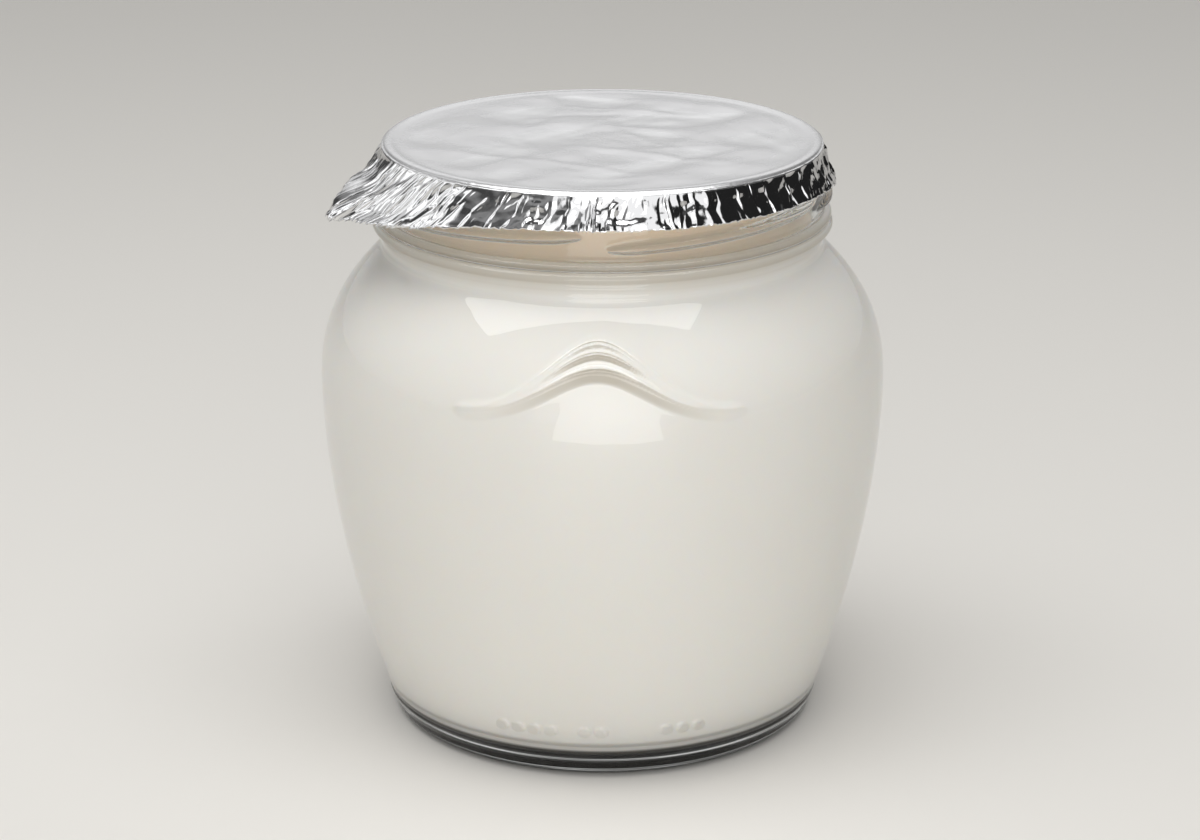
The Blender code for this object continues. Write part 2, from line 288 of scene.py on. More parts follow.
def outer_wall():
    # From the middle of the underside up to the top of the rim
    recess_end = (RECESS_R - RECESS_ROUND, RECESS_Z)
    ring_low = (FOOT_IN_R + FOOT_ROUND, 0.0)
    underside = line((0.0, RECESS_Z), recess_end, 6)
    recess = bend(recess_end, (RECESS_R, RECESS_Z), (RECESS_R + FOOT_ROUND, RECESS_Z - FOOT_ROUND_Z), 4)
    ring_in = bend((FOOT_IN_R - FOOT_ROUND, FOOT_ROUND_Z), (FOOT_IN_R, 0.0), ring_low, 4)
    foot = line(ring_low, (FOOT_OUT_R, 0.0), 3)
    heel = bend((FOOT_OUT_R, 0.0), (belly_radius(0.0), 0.0), (belly_radius(HEEL_Z), HEEL_Z), 14)
    belly = []
    for low, high, step in BELLY_ROWS:
        belly += [(belly_radius(z), z) for z in heights(low, high, step)]
    end_r = belly_radius(SHOULDER_END_Z)
    corner = (WAIST_R, SHOULDER_END_Z + (WAIST_R - end_r) / belly_slope(SHOULDER_END_Z))
    shoulder = bend((end_r, SHOULDER_END_Z), corner, (WAIST_R, WAIST_Z), 12)
    waist = line((WAIST_R, WAIST_Z), (WAIST_R, WAIST_END_Z), 14)
    bead = []
    for z, crest_half, out, first, last in BEAD_CRESTS:
        for degrees in range(first, last + 1, BEAD_STEP):
            turn = math.radians(degrees)
            bead.append((WAIST_R + out * math.cos(turn), z + crest_half * math.sin(turn)))
    neck = []
    for z in heights(FINISH_LOW_Z, FINISH_TOP_Z, FINE_STEP):
        neck.append((FINISH_R - FINISH_LEAN * (FINISH_TOP_Z - z), z))
    slope = line((FINISH_R, FINISH_TOP_Z), (LIP_R, LIP_Z), 6)
    rim = rim_path(*RIM_TURNS[:2])
    return joined(underside, recess, ring_in, foot, heel, belly, shoulder, waist, bead, neck, slope, rim)


def inner_wall(rows, out=0.0, top=LIP_Z):
    # From the middle of the floor up the bore
    low = (cavity_radius(FLOOR_CORNER_Z) + out, FLOOR_CORNER_Z)
    floor_end = (low[0] - (FLOOR_CORNER_Z - FLOOR_Z), FLOOR_Z - out)
    floor_corner = (cavity_radius(FLOOR_Z) + out, FLOOR_Z - out)
    floor = line((0.0, FLOOR_Z - out), floor_end, 8)
    corner = bend(floor_end, floor_corner, low, 8)
    wall = []
    for low_z, high_z, step in rows:
        wall += [(cavity_radius(z, out), z) for z in heights(low_z, high_z, step)]
    bore = BORE_R + out
    throat = bend(wall[-1], (bore, BORE_CORNER_Z), (bore, BORE_END_Z), 10)
    tube = line((bore, BORE_END_Z), (bore, top), 6)
    return joined(floor, corner, wall, throat, tube)


def normals(path):
    # Unit normals of a profile, on its left hand side turned outwards
    p = np.array(path)
    along = np.empty_like(p)
    along[1:-1] = p[2:] - p[:-2]
    along[0] = p[1] - p[0]
    along[-1] = p[-1] - p[-2]
    along /= np.linalg.norm(along, axis=1)[:, None]
    return np.stack((along[:, 1], -along[:, 0]), axis=1)


def band_faces(first, second, count):
    # Quads between two rings of points that start at these indices
    faces = []
    for i in range(count):
        k = (i + 1) % count
        faces.append((first + i, first + k, second + k, second + i))
    return faces


def smooth_object(name, points, faces):
    # One object of these points in millimetres, with its outside facing out
    mesh = bpy.data.meshes.new(name)
    mesh.from_pydata((np.array(points) * MM).tolist(), [], faces)
    mesh.validate()
    mesh.update()
    work = bmesh.new()
    work.from_mesh(mesh)
    bmesh.ops.recalc_face_normals(work, faces=work.faces)
    top = max(work.faces, key=lambda face: face.calc_center_median().z)
    if top.normal.z < 0:
        bmesh.ops.reverse_faces(work, faces=work.faces)
    work.to_mesh(mesh)
    work.free()
    mesh.shade_smooth()
    thing = bpy.data.objects.new(name, mesh)
    bpy.context.scene.collection.objects.link(thing)
    return thing


def turned(rings, name):
    # rings: rows of points round the axis; the first and the last row lie on it and are one point each
    rings = np.array(rings)
    walls = rings[1:-1]
    rows, columns, _ = walls.shape
    points = np.concatenate((walls.reshape(-1, 3), [rings[0].mean(axis=0), rings[-1].mean(axis=0)]))
    faces = []
    for j in range(rows - 1):
        faces += band_faces(j * columns, (j + 1) * columns, columns)
    bottom, top = rows * columns, rows * columns + 1
    for i in range(columns):
        k = (i + 1) % columns
        faces.append((bottom, k, i))
        faces.append((top, (rows - 1) * columns + i, (rows - 1) * columns + k))
    return smooth_object(name, points, faces)


def around(radius, z, angles):
    # Points at these angles, from the front towards +X
    return np.stack((radius * np.sin(angles), -radius * np.cos(angles), z + 0 * angles), axis=-1)


def soft_edge(level, q):
    # The level where it is above zero, running out softly past the edge at q = 1
    return np.where(q < 1.6, 0.5 * (level + np.sqrt(level * level + 0.02)), 0.0)


def soft_cap(q):
    # 1 on the line, falling like a lens to the edge at q = 1
    return soft_edge(1 - q * q, q)


def soft_ramp(q):
    # 1 on the line, falling evenly to the edge at q = 1
    return soft_edge(1 - q, q)


def round_end(t, share, size):
    # 1 along the middle of a strand, rounding off to this size at both ends
    edge = np.clip(np.minimum(t, 1 - t) / share, 0.0, 1.0)
    return size + (1 - size) * np.sqrt(1 - (1 - edge) ** 2)


def arch_relief(points):
    # How far the strands stand out at each of these points of the belly
    total = np.zeros(len(points))
    for height, up, down, out in ARCHES:
        t = np.linspace(0, 1, ARCH_POINTS)
        angle = ARCH_HALF_SWEEP * (2 * t - 1)
        z = ARCH_TAIL_Z + height * np.exp(-((angle / ARCH_SPREAD) ** 2))
        angle = angle + ARCH_TURN
        path = around(np.array([belly_radius(h) for h in z]), z, angle)
        hump = np.exp(-((angle / ARCH_SPREAD) ** 2))
        width = round_end(t, ARCH_END_SHARE, ARCH_END_SIZE) * (TAIL_WIDTH + (1 - TAIL_WIDTH) * hump)
        stand = width * (TAIL_OUT + (1 - TAIL_OUT) * hump)
        best = np.full(len(points), np.inf)
        wide = np.ones(len(points))
        full = np.ones(len(points))
        above = np.ones(len(points), dtype=bool)
        for k in range(ARCH_POINTS - 1):
            run = path[k + 1] - path[k]
            s = np.clip(((points - path[k]) @ run) / (run @ run), 0, 1)
            nearest = path[k] + s[:, None] * run
            distance = np.linalg.norm(points - nearest, axis=1)
            closer = distance < best
            best = np.where(closer, distance, best)
            wide = np.where(closer, width[k], wide)
            full = np.where(closer, stand[k], full)
            above = np.where(closer, points[:, 2] > nearest[:, 2], above)
        reach = np.where(above, up, down) * wide
        total = np.maximum(total, out * full * soft_ramp(best / reach))
    return total


def dot_relief(points):
    total = np.zeros(len(points))
    for first, count in DOT_GROUPS:
        for i in range(count):
            centre = around(belly_radius(DOT_Z), DOT_Z, math.radians(first + DOT_STEP * i))
            distance = np.linalg.norm(points - centre, axis=1)
            total = np.maximum(total, DOT_OUT * soft_cap((distance / DOT_HALF) ** 2))
    return total


def pressed_relief(z, angles):
    # What is pressed into the belly: the glass has it outside, and the yogurt's face has most of it inside
    out = np.zeros(len(angles))
    points = around(belly_radius(z), z, angles)
    if within(z, ARCH_ZONE):
        near = np.abs(np.mod(angles + math.pi, math.tau) - math.pi) < FRONT_HALF
        out[near] = arch_relief(points[near])
    elif within(z, DOT_ZONE):
        out = dot_relief(points)
    return out


def lug_relief(z, angles):
    total = np.zeros(len(angles))
    for index in range(LUG_COUNT):
        start = LUG_START + index * math.tau / LUG_COUNT
        t = np.mod(angles - start, math.tau) / LUG_SWEEP
        on = t <= 1
        t = np.clip(t, 0, 1)
        size = round_end(t, LUG_END_SHARE, LUG_END_SIZE)
        q = np.abs(z - (LUG_LOW_Z + LUG_RISE * t)) / (LUG_HALF * size)
        total = np.maximum(total, np.where(on, LUG_OUT * size * soft_cap(q), 0.0))
    return total


def ring_relief(z, angles):
    # Fine ridges that run round the heel and the waist
    total = np.zeros(len(angles))
    for middle, half, out, phase in RINGS:
        q = np.abs(z - middle - RING_WAVE * np.sin(2 * angles + phase)) / half
        total = np.maximum(total, out * (0.75 + 0.25 * np.sin(5 * angles + phase)) * soft_cap(q))
    return total


def jar_relief(z, angles):
    if within(z, LUG_ZONE):
        return lug_relief(z, angles)
    if any(within(z, zone) for zone in RING_ZONES):
        return ring_relief(z, angles)
    return pressed_relief(z, angles)


def wander(z, angles):
    # The slow unevenness of a pressed wall
    wave = np.sin(3 * angles + 0.11 * z + 1.0) + 0.7 * np.sin(5 * angles - 0.17 * z + 2.0)
    return WANDER * (wave + 0.6 * np.sin(9 * angles + 0.31 * z))


def jar_angles():
    # Close together over the relief, wider apart round the rest
    front = np.linspace(-FRONT_HALF, FRONT_HALF, FRONT_COLUMNS)
    rest = np.linspace(FRONT_HALF, math.tau - FRONT_HALF, REST_COLUMNS)[1:-1]
    return np.concatenate((front, rest))


def make_jar():
    angles = jar_angles()
    outer = outer_wall()
    rings = []
    for (radius, z), (nr, nz) in zip(outer, normals(outer)):
        out = jar_relief(z, angles)
        if HEEL_Z < z < SHOULDER_END_Z:
            fade = min(1.0, (z - HEEL_Z) / WANDER_FADE, (SHOULDER_END_Z - z) / WANDER_FADE)
            out = out + fade * (wander(z, angles) - WALL_IN)
        rings.append(around(radius + nr * out, z + nz * out, angles))
    rim_in = rim_path(RIM_TURNS[1] + RIM_STEP, RIM_TURNS[2])
    for radius, z in joined(rim_in, reversed(inner_wall(PLAIN_ROWS))):
        rings.append(around(radius, z, angles))
    return turned(rings, "glass_jar")


def make_yogurt():
    angles = jar_angles()
    wall_r = BORE_R + INTO_WALL
    wall = inner_wall(RELIEF_ROWS, INTO_WALL, FILL_Z + MENISCUS)
    top = []
    for i in range(1, MENISCUS_ROWS + 1):
        t = i / MENISCUS_ROWS
        top.append((wall_r - MENISCUS_RUN * t, FILL_Z + MENISCUS * (1 - t) ** 2))
    top += line((wall_r - MENISCUS_RUN, FILL_Z), (0.0, FILL_Z), TOP_FLAT_ROWS)
    rings = []
    for radius, z in joined(wall, top):
        ring = around(radius, z, angles)
        ring += RELIEF_INSIDE * pressed_relief(z, angles)[:, None] * around(1.0, 0.0, angles)
        if z >= FILL_Z - 0.01 and radius < wall_r - 0.5:
            # The top isn't quite level
            x, y = ring[:, 0], ring[:, 1]
            calm = min(max((wall_r - radius) / 4.0, 0.0), 1.0)
            ring[:, 2] += calm * (0.14 * np.sin(0.23 * x + 0.3) * np.cos(0.19 * y) - 0.1)
            ring[:, 2] += calm * 0.05 * np.sin(0.61 * x - 0.37 * y + 1.2)
        rings.append(ring)
    return turned(rings, "yogurt_fill")


# Foil


def ramp_between(value, start, end):
    # 0 at start, 1 at end, and straight between them
    return min(max((value - start) / (end - start), 0.0), 1.0)


def near_tab(angle):
    # 1 over the tab, 0 away from it
    degrees = math.degrees(math.remainder(angle, math.tau))
    back, front = TAB_CRUMPLED
    return ramp_between(degrees, back - TAB_FADE, back) * ramp_between(degrees, front + TAB_FADE, front)


def leaned(degrees, s):
    # The creases lean with the tab's ridge
    back, front = TAB_EDGE[0, 0], TAB_EDGE[-1, 0]
    ridge = RIDGE_TOP + (RIDGE_END - RIDGE_TOP) * s
    return float(np.interp(degrees, (back, RIDGE_TOP, front), (back, ridge, front)))


def skirt_drop(angle):
    off = math.remainder(angle - SAG_ANGLE, math.tau) / SAG_SWEEP
    return SKIRT_DROP + SAG_DROP * math.exp(-off * off)


def skirt_point(angle, s):
    # On the skirt without its creases, at this share of the way down
    whole = round(angle / math.tau)
    degrees = math.degrees(angle - whole * math.tau)
    if TAB_EDGE[0, 0] < degrees < TAB_EDGE[-1, 0]:
        degrees = leaned(degrees, s)
        angle = math.radians(degrees)
    out = float(np.interp(degrees, TAB_EDGE[:, 0], TAB_EDGE[:, 1]))
    hang = float(np.interp(degrees, TAB_EDGE[:, 0], TAB_EDGE[:, 2]))
    back = ramp_between(degrees, TAB_FOLD, TAB_FOLD - TAB_FOLD_RUN)
    turn = 1 / (1 + math.exp((TAB_BEND - s) / TAB_BEND_RUN))
    bent = (1 - TAB_BEND_SHARE) * s + TAB_BEND_SHARE * turn
    share = back * bent + (1 - back) * s**TAB_POWER
    radius = FOLD_R + SKIRT_FLARE * s**SKIRT_POWER + out * share
    z = FOLD_Z - (skirt_drop(angle) + hang) * s
    return Vector((radius * math.sin(angle), -radius * math.cos(angle), z))


def skirt_normal(angle, s):
    ahead = skirt_point(angle + 0.003, s) - skirt_point(angle - 0.003, s)
    down = skirt_point(angle, s + 0.01) - skirt_point(angle, max(0.0, s - 0.01))
    normal = down.cross(ahead).normalized()
    if normal.x * math.sin(angle) - normal.y * math.cos(angle) < 0:
        return -normal
    return normal


def along_knots(knots, s):
    # Value at s of a run of values that are evenly spaced from 0 to 1
    place = min(max(s, 0.0), 1.0) * (len(knots) - 1)
    k = min(int(place), len(knots) - 2)
    return knots[k] + (place - k) * (knots[k + 1] - knots[k])


def spread_out(places, gap):
    # Pushes neighbours apart, so that no crease crosses the next
    count = len(places)
    for k in range(1, count):
        places[k] = max(places[k], places[k - 1] + gap)
    for k in range(count - 1, -1, -1):
        places[k] = min(places[k], math.pi - (count - k) * gap)
    return places


def crease_paths(dice):
    # The angle of every crease at each knot from the fold to the edge
    arc = 1 / FOLD_R
    widths = [dice.choice([dice.uniform(*limits) for limits in CELL_WIDTHS]) for _ in range(CREASES)]
    share = (math.tau - 0.02) / sum(widths)
    angle = -math.pi + 0.01
    starts = []
    for width in widths:
        starts.append(math.radians(float(np.interp(math.degrees(angle), *CROWD))))
        angle += width * share
    paths = [starts]
    lean = 0.0
    for _ in range(KNOTS - 1):
        row = []
        for place in paths[-1]:
            lean = 0.5 * lean + dice.uniform(-CREASE_LEAN, CREASE_LEAN)
            row.append(place + lean * arc)
        paths.append(spread_out(row, CREASE_GAP * arc))
    return paths


def crease_rises(dice, front):
    # The height of one crease at each knot: a ridge, or now and then a groove
    strength = dice.uniform(*CREASE_RISE) * (1 if dice.random() < RIDGE_SHARE else GROOVE_DEPTH)
    strength *= 1 + FRONT_GAIN * front
    rise = [0.03 * dice.random()]
    for j in range(1, KNOTS):
        part = dice.uniform(0.55, 1.15) if dice.random() < 0.8 else dice.uniform(0.0, 0.3)
        rise.append(strength * part * min(1.0, 0.45 + 0.3 * j))
    return rise


def crease_layout(dice):
    # For each crease: its angle, height and feet, and the level and bulge of the cell after it
    arc = 1 / FOLD_R
    paths = crease_paths(dice)
    creases = []
    for k in range(CREASES):
        front = math.exp(-((paths[0][k] / FRONT_SPREAD) ** 2))
        creases.append({
            "angle": [row[k] for row in paths],
            "rise": crease_rises(dice, front),
            "left": dice.uniform(*CREASE_LEFT) * arc,
            "right": dice.uniform(*CREASE_RIGHT) * (1 + FRONT_GAIN * front) * arc,
            "level": [dice.uniform(-0.03, 0.03)]
            + [dice.uniform(-CELL_LEVEL, CELL_LEVEL) for _ in range(KNOTS - 1)],
            "bulge": [0.0] + [dice.uniform(*CELL_BULGE) for _ in range(KNOTS - 1)],
            "kink": (dice.uniform(0.1, 0.9), dice.uniform(-1.6, 1.6), dice.uniform(-0.7, 0.7)),
            "phase": dice.uniform(-0.12, 0.12),
        })
    return creases


def skirt_columns(creases, s):
    # Angle and height of every column at this share of the way down
    columns = []
    count = len(creases)
    for k, crease in enumerate(creases):
        before, after = creases[k - 1], creases[(k + 1) % count]
        here = along_knots(crease["angle"], s)
        past = along_knots(before["angle"], s) - (math.tau if k == 0 else 0.0)
        there = along_knots(after["angle"], s) + (math.tau if k == count - 1 else 0.0)
        left = min(crease["left"], CREASE_FOOT_LIMIT * (here - past))
        right = min(crease["right"], CREASE_FOOT_LIMIT * (there - here))
        next_left = min(after["left"], CREASE_FOOT_LIMIT * (there - here))
        level = along_knots(crease["level"], s + s * crease["phase"])
        next_level = along_knots(after["level"], s + s * after["phase"])
        columns.append((here - left, level))
        columns.append((here, level + along_knots(crease["rise"], s + s * crease["phase"])))
        columns.append((here + right, level))
        start, end = here + right, there - next_left
        bulge = along_knots(crease["bulge"], s)
        where, slant, size = crease["kink"]
        for i in range(1, CELL_COLUMNS + 1):
            t = i / (CELL_COLUMNS + 1)
            fold = abs(s - where - slant * (t - 0.5)) - 0.2
            kink = 0.3 * size * min(fold, 0.25) * min(1.0, 3 * s)
            height = level + (next_level - level) * t + 4 * t * (1 - t) * (bulge - kink)
            columns.append((start + (end - start) * t, height))
    return columns


def fold_set(dice, count, lengths, steepness):
    # Zigzag folds across a sheet: direction, length from crest to crest, phase and rise
    folds = []
    for _ in range(count):
        turn = dice.uniform(0, math.pi)
        length = dice.uniform(*lengths)
        phase = dice.random()
        folds.append((math.cos(turn), math.sin(turn), length, phase, dice.uniform(*steepness) * length))
    return folds


def zigzag(x, y, folds):
    height = 0.0
    for nx, ny, length, phase, rise in folds:
        height = height + rise * np.abs(2 * np.mod((x * nx + y * ny) / length + phase, 1.0) - 1)
    return height


def skirt_crumple(angle, s, folds):
    # Small facets all over the skirt, larger ones on the tab
    spread = 1 + 0.9 * near_tab(angle)
    u = FOLD_R * math.remainder(angle, math.tau) / spread
    v = (SKIRT_DROP + 4.0 * near_tab(angle)) * s / spread
    pu = u + 0.5 * math.sin(1.1 * v + 0.7) + 0.3 * math.sin(2.3 * v - 0.9 * u)
    pv = v + 0.5 * math.sin(0.9 * u + 0.4)
    back = math.pi * FOLD_R - abs(u) * spread
    return float(zigzag(pu, pv, folds) - 0.25) * min(1.0, back / 2.0) * min(1.0, 4 * s)


def disc_lines(dice):
    # Ridges across the disc: direction, offset, half width, rise, middle and half length
    lines = []
    for _ in range(30):
        turn = dice.gauss(1.35, 0.8)
        reach = dice.uniform(7.0, 24.0)
        lines.append((
            math.cos(turn), math.sin(turn), dice.uniform(-33, 33), dice.uniform(1.6, 4.5),
            dice.uniform(0.06, 0.17) * dice.choice((-1, 1)), dice.uniform(-14, 14), reach,
        ))
    return lines


def disc_crumple(x, y, lines, folds):
    # Soft wrinkles of the disc: flat facets between folds, and a few ridges across them
    height = 0.03 * np.sin(0.21 * x + 0.13 * y + 0.5) + 0.03 * np.sin(0.11 * x - 0.33 * y + 1.7)
    px = x + 1.6 * np.sin(0.17 * y + 0.4) + 0.7 * np.sin(0.41 * y - 0.12 * x)
    py = y + 1.4 * np.sin(0.15 * x + 1.1) + 0.8 * np.sin(0.37 * x + 0.09 * y)
    height = height + zigzag(px, py, folds)
    for nx, ny, offset, width, rise, mid, reach in lines:
        across = x * nx + y * ny - offset
        along = -x * ny + y * nx - mid
        fade = np.exp(-((along / reach) ** 4))
        bent = across + 0.035 * along * np.sin(0.12 * along + offset)
        height = height + rise * fade * np.maximum(0.0, 1 - np.abs(bent) / width)
    return height


def disc_rings(dice):
    lines = disc_lines(dice)
    folds = fold_set(dice, 9, (7.0, 24.0), (0.006, 0.013))
    angles = np.linspace(-math.pi, math.pi, DISC_COLUMNS, endpoint=False)
    radii = np.linspace(DISC_R / DISC_ROWS, DISC_R, DISC_ROWS)[:, None]
    disc = around(radii, DISC_Z, angles[None, :] + 0 * radii)
    crumple = disc_crumple(disc[..., 0], disc[..., 1], lines, folds)
    crumple = DISC_LIMIT * np.tanh((crumple - crumple.mean()) / DISC_LIMIT)
    disc[..., 2] += np.clip((DISC_R - radii) / DISC_FADE, 0, 1) * crumple
    return [(angles, ring) for ring in disc]


def rim_rings(angles, dice):
    # Over the rim, with slight dents that grow towards the fold
    dent = np.array([dice.uniform(-1, 1) for _ in angles])
    dent = (dent + np.roll(dent, 1) + np.roll(dent, 2) + np.roll(dent, -1)) / 2.6
    rings = []
    for k, (radius, below) in enumerate(LID_RIM):
        ring = around(radius, LID_TOP_Z - below, angles)
        ring[:, 2] += RIM_DENT * k * dent - RIM_SINK
        rings.append((angles, ring))
    return rings


def skirt_rings(creases, folds, dice):
    ragged = [dice.uniform(*RAGGED) for _ in skirt_columns(creases, 0.0)]
    rings = []
    for row in range(SKIRT_ROWS):
        s = row / (SKIRT_ROWS - 1)
        columns = skirt_columns(creases, s)
        points = []
        for (angle, height), longer in zip(columns, ragged):
            tab = near_tab(angle)
            height *= 1 - 0.45 * tab * min(1.0, 1.4 * s)
            height += (0.5 + 0.8 * tab) * skirt_crumple(angle, s, folds)
            points.append(skirt_point(angle, s * (1 + longer * s)) + skirt_normal(angle, s) * height)
        rings.append((np.array([angle for angle, _ in columns]), np.array(points)))
    return rings


def stitched(inner, first, outer, second):
    # Triangles between two rings whose columns don't match
    faces = []
    i = j = 0
    n, m = len(inner), len(outer)
    inner_stops = [*inner[1:], inner[0] + math.tau, math.inf]
    outer_stops = [*outer[1:], outer[0] + math.tau, math.inf]
    while i < n or j < m:
        if i < n and (inner_stops[i] <= outer_stops[j] or j >= m):
            faces.append((first + i % n, first + (i + 1) % n, second + j % m))
            i += 1
        else:
            faces.append((first + i % n, second + (j + 1) % m, second + j % m))
            j += 1
    return faces


def make_foil():
    dice = random.Random(41)
    creases = crease_layout(dice)
    rings = disc_rings(dice)
    folds = fold_set(dice, 4, (2.2, 5.0), (0.045, 0.075))
    rings += rim_rings(np.array([angle for angle, _ in skirt_columns(creases, 0.0)]), dice)
    rings += skirt_rings(creases, folds, dice)
    points = [(0.0, 0.0, float(rings[0][1][:, 2].mean()))]
    starts = []
    for _, ring in rings:
        starts.append(len(points))
        points += [tuple(point) for point in ring]
    count = len(rings[0][0])
    faces = [(0, starts[0] + (i + 1) % count, starts[0] + i) for i in range(count)]
    for j in range(len(rings) - 1):
        inner, outer = rings[j][0], rings[j + 1][0]
        if len(inner) == len(outer):
            faces += band_faces(starts[j], starts[j + 1], len(inner))
        else:
            faces += stitched(inner, starts[j], outer, starts[j + 1])
    sheet = smooth_object("foil_lid_sheet", points, faces)
    thick = sheet.modifiers.new("Thickness", "SOLIDIFY")
    thick.thickness = FOIL_THICK * MM
    thick.offset = -1.0
    return sheet


# Materials


class Graph:
    # A cleared node tree, with short ways to add the nodes that are used below

    def __init__(self, tree):
        self.nodes = tree.nodes
        self.links = tree.links
        self.nodes.clear()

    def put(self, socket, value):
        # Value: another node's output, a number or a colour
        if isinstance(value, bpy.types.NodeSocket):
            self.links.new(value, socket)
        elif socket.type == "RGBA":
            socket.default_value = (*value, 1)
        else:
            socket.default_value = value

    def add(self, kind, values):
        node = self.nodes.new(kind)
        for name, value in values.items():
            self.put(node.inputs[name], value)
        return node

    def place(self, kind):
        return self.add("ShaderNodeTexCoord", {}).outputs[kind]

    def parts(self, vector):
        return self.add("ShaderNodeSeparateXYZ", {"Vector": vector}).outputs

    def math(self, operation, first, second=0.0):
        node = self.nodes.new("ShaderNodeMath")
        node.operation = operation
        self.put(node.inputs[0], first)
        self.put(node.inputs[1], second)
        return node.outputs[0]

    def span(self, value, start, end, low=0.0, high=1.0, kind="LINEAR"):
        # low up to the start, high from the end on
        limits = {"Value": value, "From Min": start, "From Max": end, "To Min": low, "To Max": high}
        node = self.add("ShaderNodeMapRange", limits)
        node.interpolation_type = kind
        return node.outputs["Result"]

    def mix(self, share, first, second, kind="FLOAT"):
        # first where share is 0, second where it is 1
        node = self.nodes.new("ShaderNodeMix")
        node.data_type = kind
        for name, value in (("Factor", share), ("A", first), ("B", second)):
            self.put(node.inputs[name], value)
        return node.outputs["Result"]

    def colour(self, share, first, second):
        return self.mix(share, first, second, "RGBA")

    def greys(self, value, stops):
        # Grey levels at these places from 0 to 1, and straight between them
        node = self.add("ShaderNodeValToRGB", {"Fac": value})
        elements = node.color_ramp.elements
        while len(elements) < len(stops):
            elements.new(0.5)
        for element, (place, level) in zip(elements, stops):
            element.position = place
            element.color = (level, level, level, 1)
        return node.outputs["Color"]

    def noise(self, place, scale, detail):
        values = {"Vector": place, "Scale": scale, "Detail": detail}
        return self.add("ShaderNodeTexNoise", values).outputs["Fac"]

    def bump(self, height, strength, distance):
        values = {"Height": height, "Strength": strength, "Distance": distance}
        return self.add("ShaderNodeBump", values).outputs["Normal"]

    def shader(self, kind, values):
        return self.add(kind, values).outputs[0]

    def shader_mix(self, share, first, second):
        node = self.nodes.new("ShaderNodeMixShader")
        for socket, value in zip(node.inputs, (share, first, second)):
            self.links.new(value, socket)
        return node.outputs[0]

    def finish(self, kind, shader):
        self.add(kind, {"Surface": shader})


def new_material(name):
    surface = bpy.data.materials.new(name)
    surface.use_nodes = True
    return surface, Graph(surface.node_tree)


# How much light the thick foot lets through, in shares of this height
FOOT_SHADE_TOP = 0.010
FOOT_SHADE = (
    (0.0, 0.12), (0.12, 0.15), (0.18, 0.66), (0.40, 0.66), (0.44, 0.22), (0.50, 0.28), (0.57, 0.90),
    (1.0, 0.97),
)


def glass_material():
    surface, graph = new_material("clear_glass")
    where = graph.place("Object")
    _, _, z = graph.parts(where)
    glass = graph.shader("ShaderNodeBsdfPrincipled", {
        "Base Color": (0.97, 0.985, 0.975),
        "Roughness": 0.0,
        "IOR": 1.5,
        "Transmission Weight": 1.0,
        "Normal": graph.bump(graph.noise(where, 120.0, 2.0), 0.25, 0.0002),
    })
    through = graph.greys(graph.math("DIVIDE", z, FOOT_SHADE_TOP), FOOT_SHADE)
    clear = graph.shader("ShaderNodeBsdfTransparent", {"Color": through})
    ray = graph.add("ShaderNodeLightPath", {}).outputs
    lit = graph.shader_mix(ray["Is Shadow Ray"], glass, clear)
    lit = graph.shader_mix(ray["Is Diffuse Ray"], lit, clear)
    graph.finish("ShaderNodeOutputMaterial", lit)
    return surface


BODY_COLOURS = ((0.84, 0.815, 0.765), (0.87, 0.85, 0.81))
# Painted shade: behind the bead, in the lid's shade, the yogurt is darker
NECK_SHADE_COLOUR = (0.55, 0.50, 0.42)
NECK_SHADE_FADE = (0.0862, 0.0905)
# The open top, inside the wall: a cream tint with painted warm light, lighter than the rest
TOP_CREAM_AND_LIGHT = (0.96, 0.88, 0.74)
TOP_FADE_R = (0.03655, 0.03635)
TOP_FROM = 0.0885
# Painted shade: a near-black line along its edge down at the floor
EDGE_SHADE_COLOUR = (0.10, 0.095, 0.085)
EDGE_SHADE_FADE = (0.0053, 0.0048)
# Undersides of the pressed strands get less light: by how far the surface leans down from the belly,
# less from the middle to the tails
SHADE_COLOUR = (0.58, 0.53, 0.45)
SHADE_FADE = (0.12, 0.42)
SHADE_LOW, SHADE_HIGH = 0.0645, 0.0828
SHADE_FADE_X = (0.019, 0.009)
SHADE_TAIL = 0.04
# On the belly's upper part the normal's z grows by BELLY_TILT a metre from BELLY_LEVEL up
BELLY_TILT = 37.0
BELLY_LEVEL = 0.0632


def under_strands(graph, x, z):
    _, _, facing = graph.parts(graph.add("ShaderNodeNewGeometry", {}).outputs["Normal"])
    belly = graph.math("MULTIPLY", graph.math("SUBTRACT", z, BELLY_LEVEL), BELLY_TILT)
    lean = graph.span(graph.math("SUBTRACT", belly, facing), *SHADE_FADE)
    below = graph.math("LESS_THAN", z, SHADE_HIGH)
    zone = graph.math("MULTIPLY", graph.math("GREATER_THAN", z, SHADE_LOW), below)
    middle = graph.span(graph.math("ABSOLUTE", x), *SHADE_FADE_X, SHADE_TAIL)
    return graph.math("MULTIPLY", lean, graph.math("MULTIPLY", zone, middle))


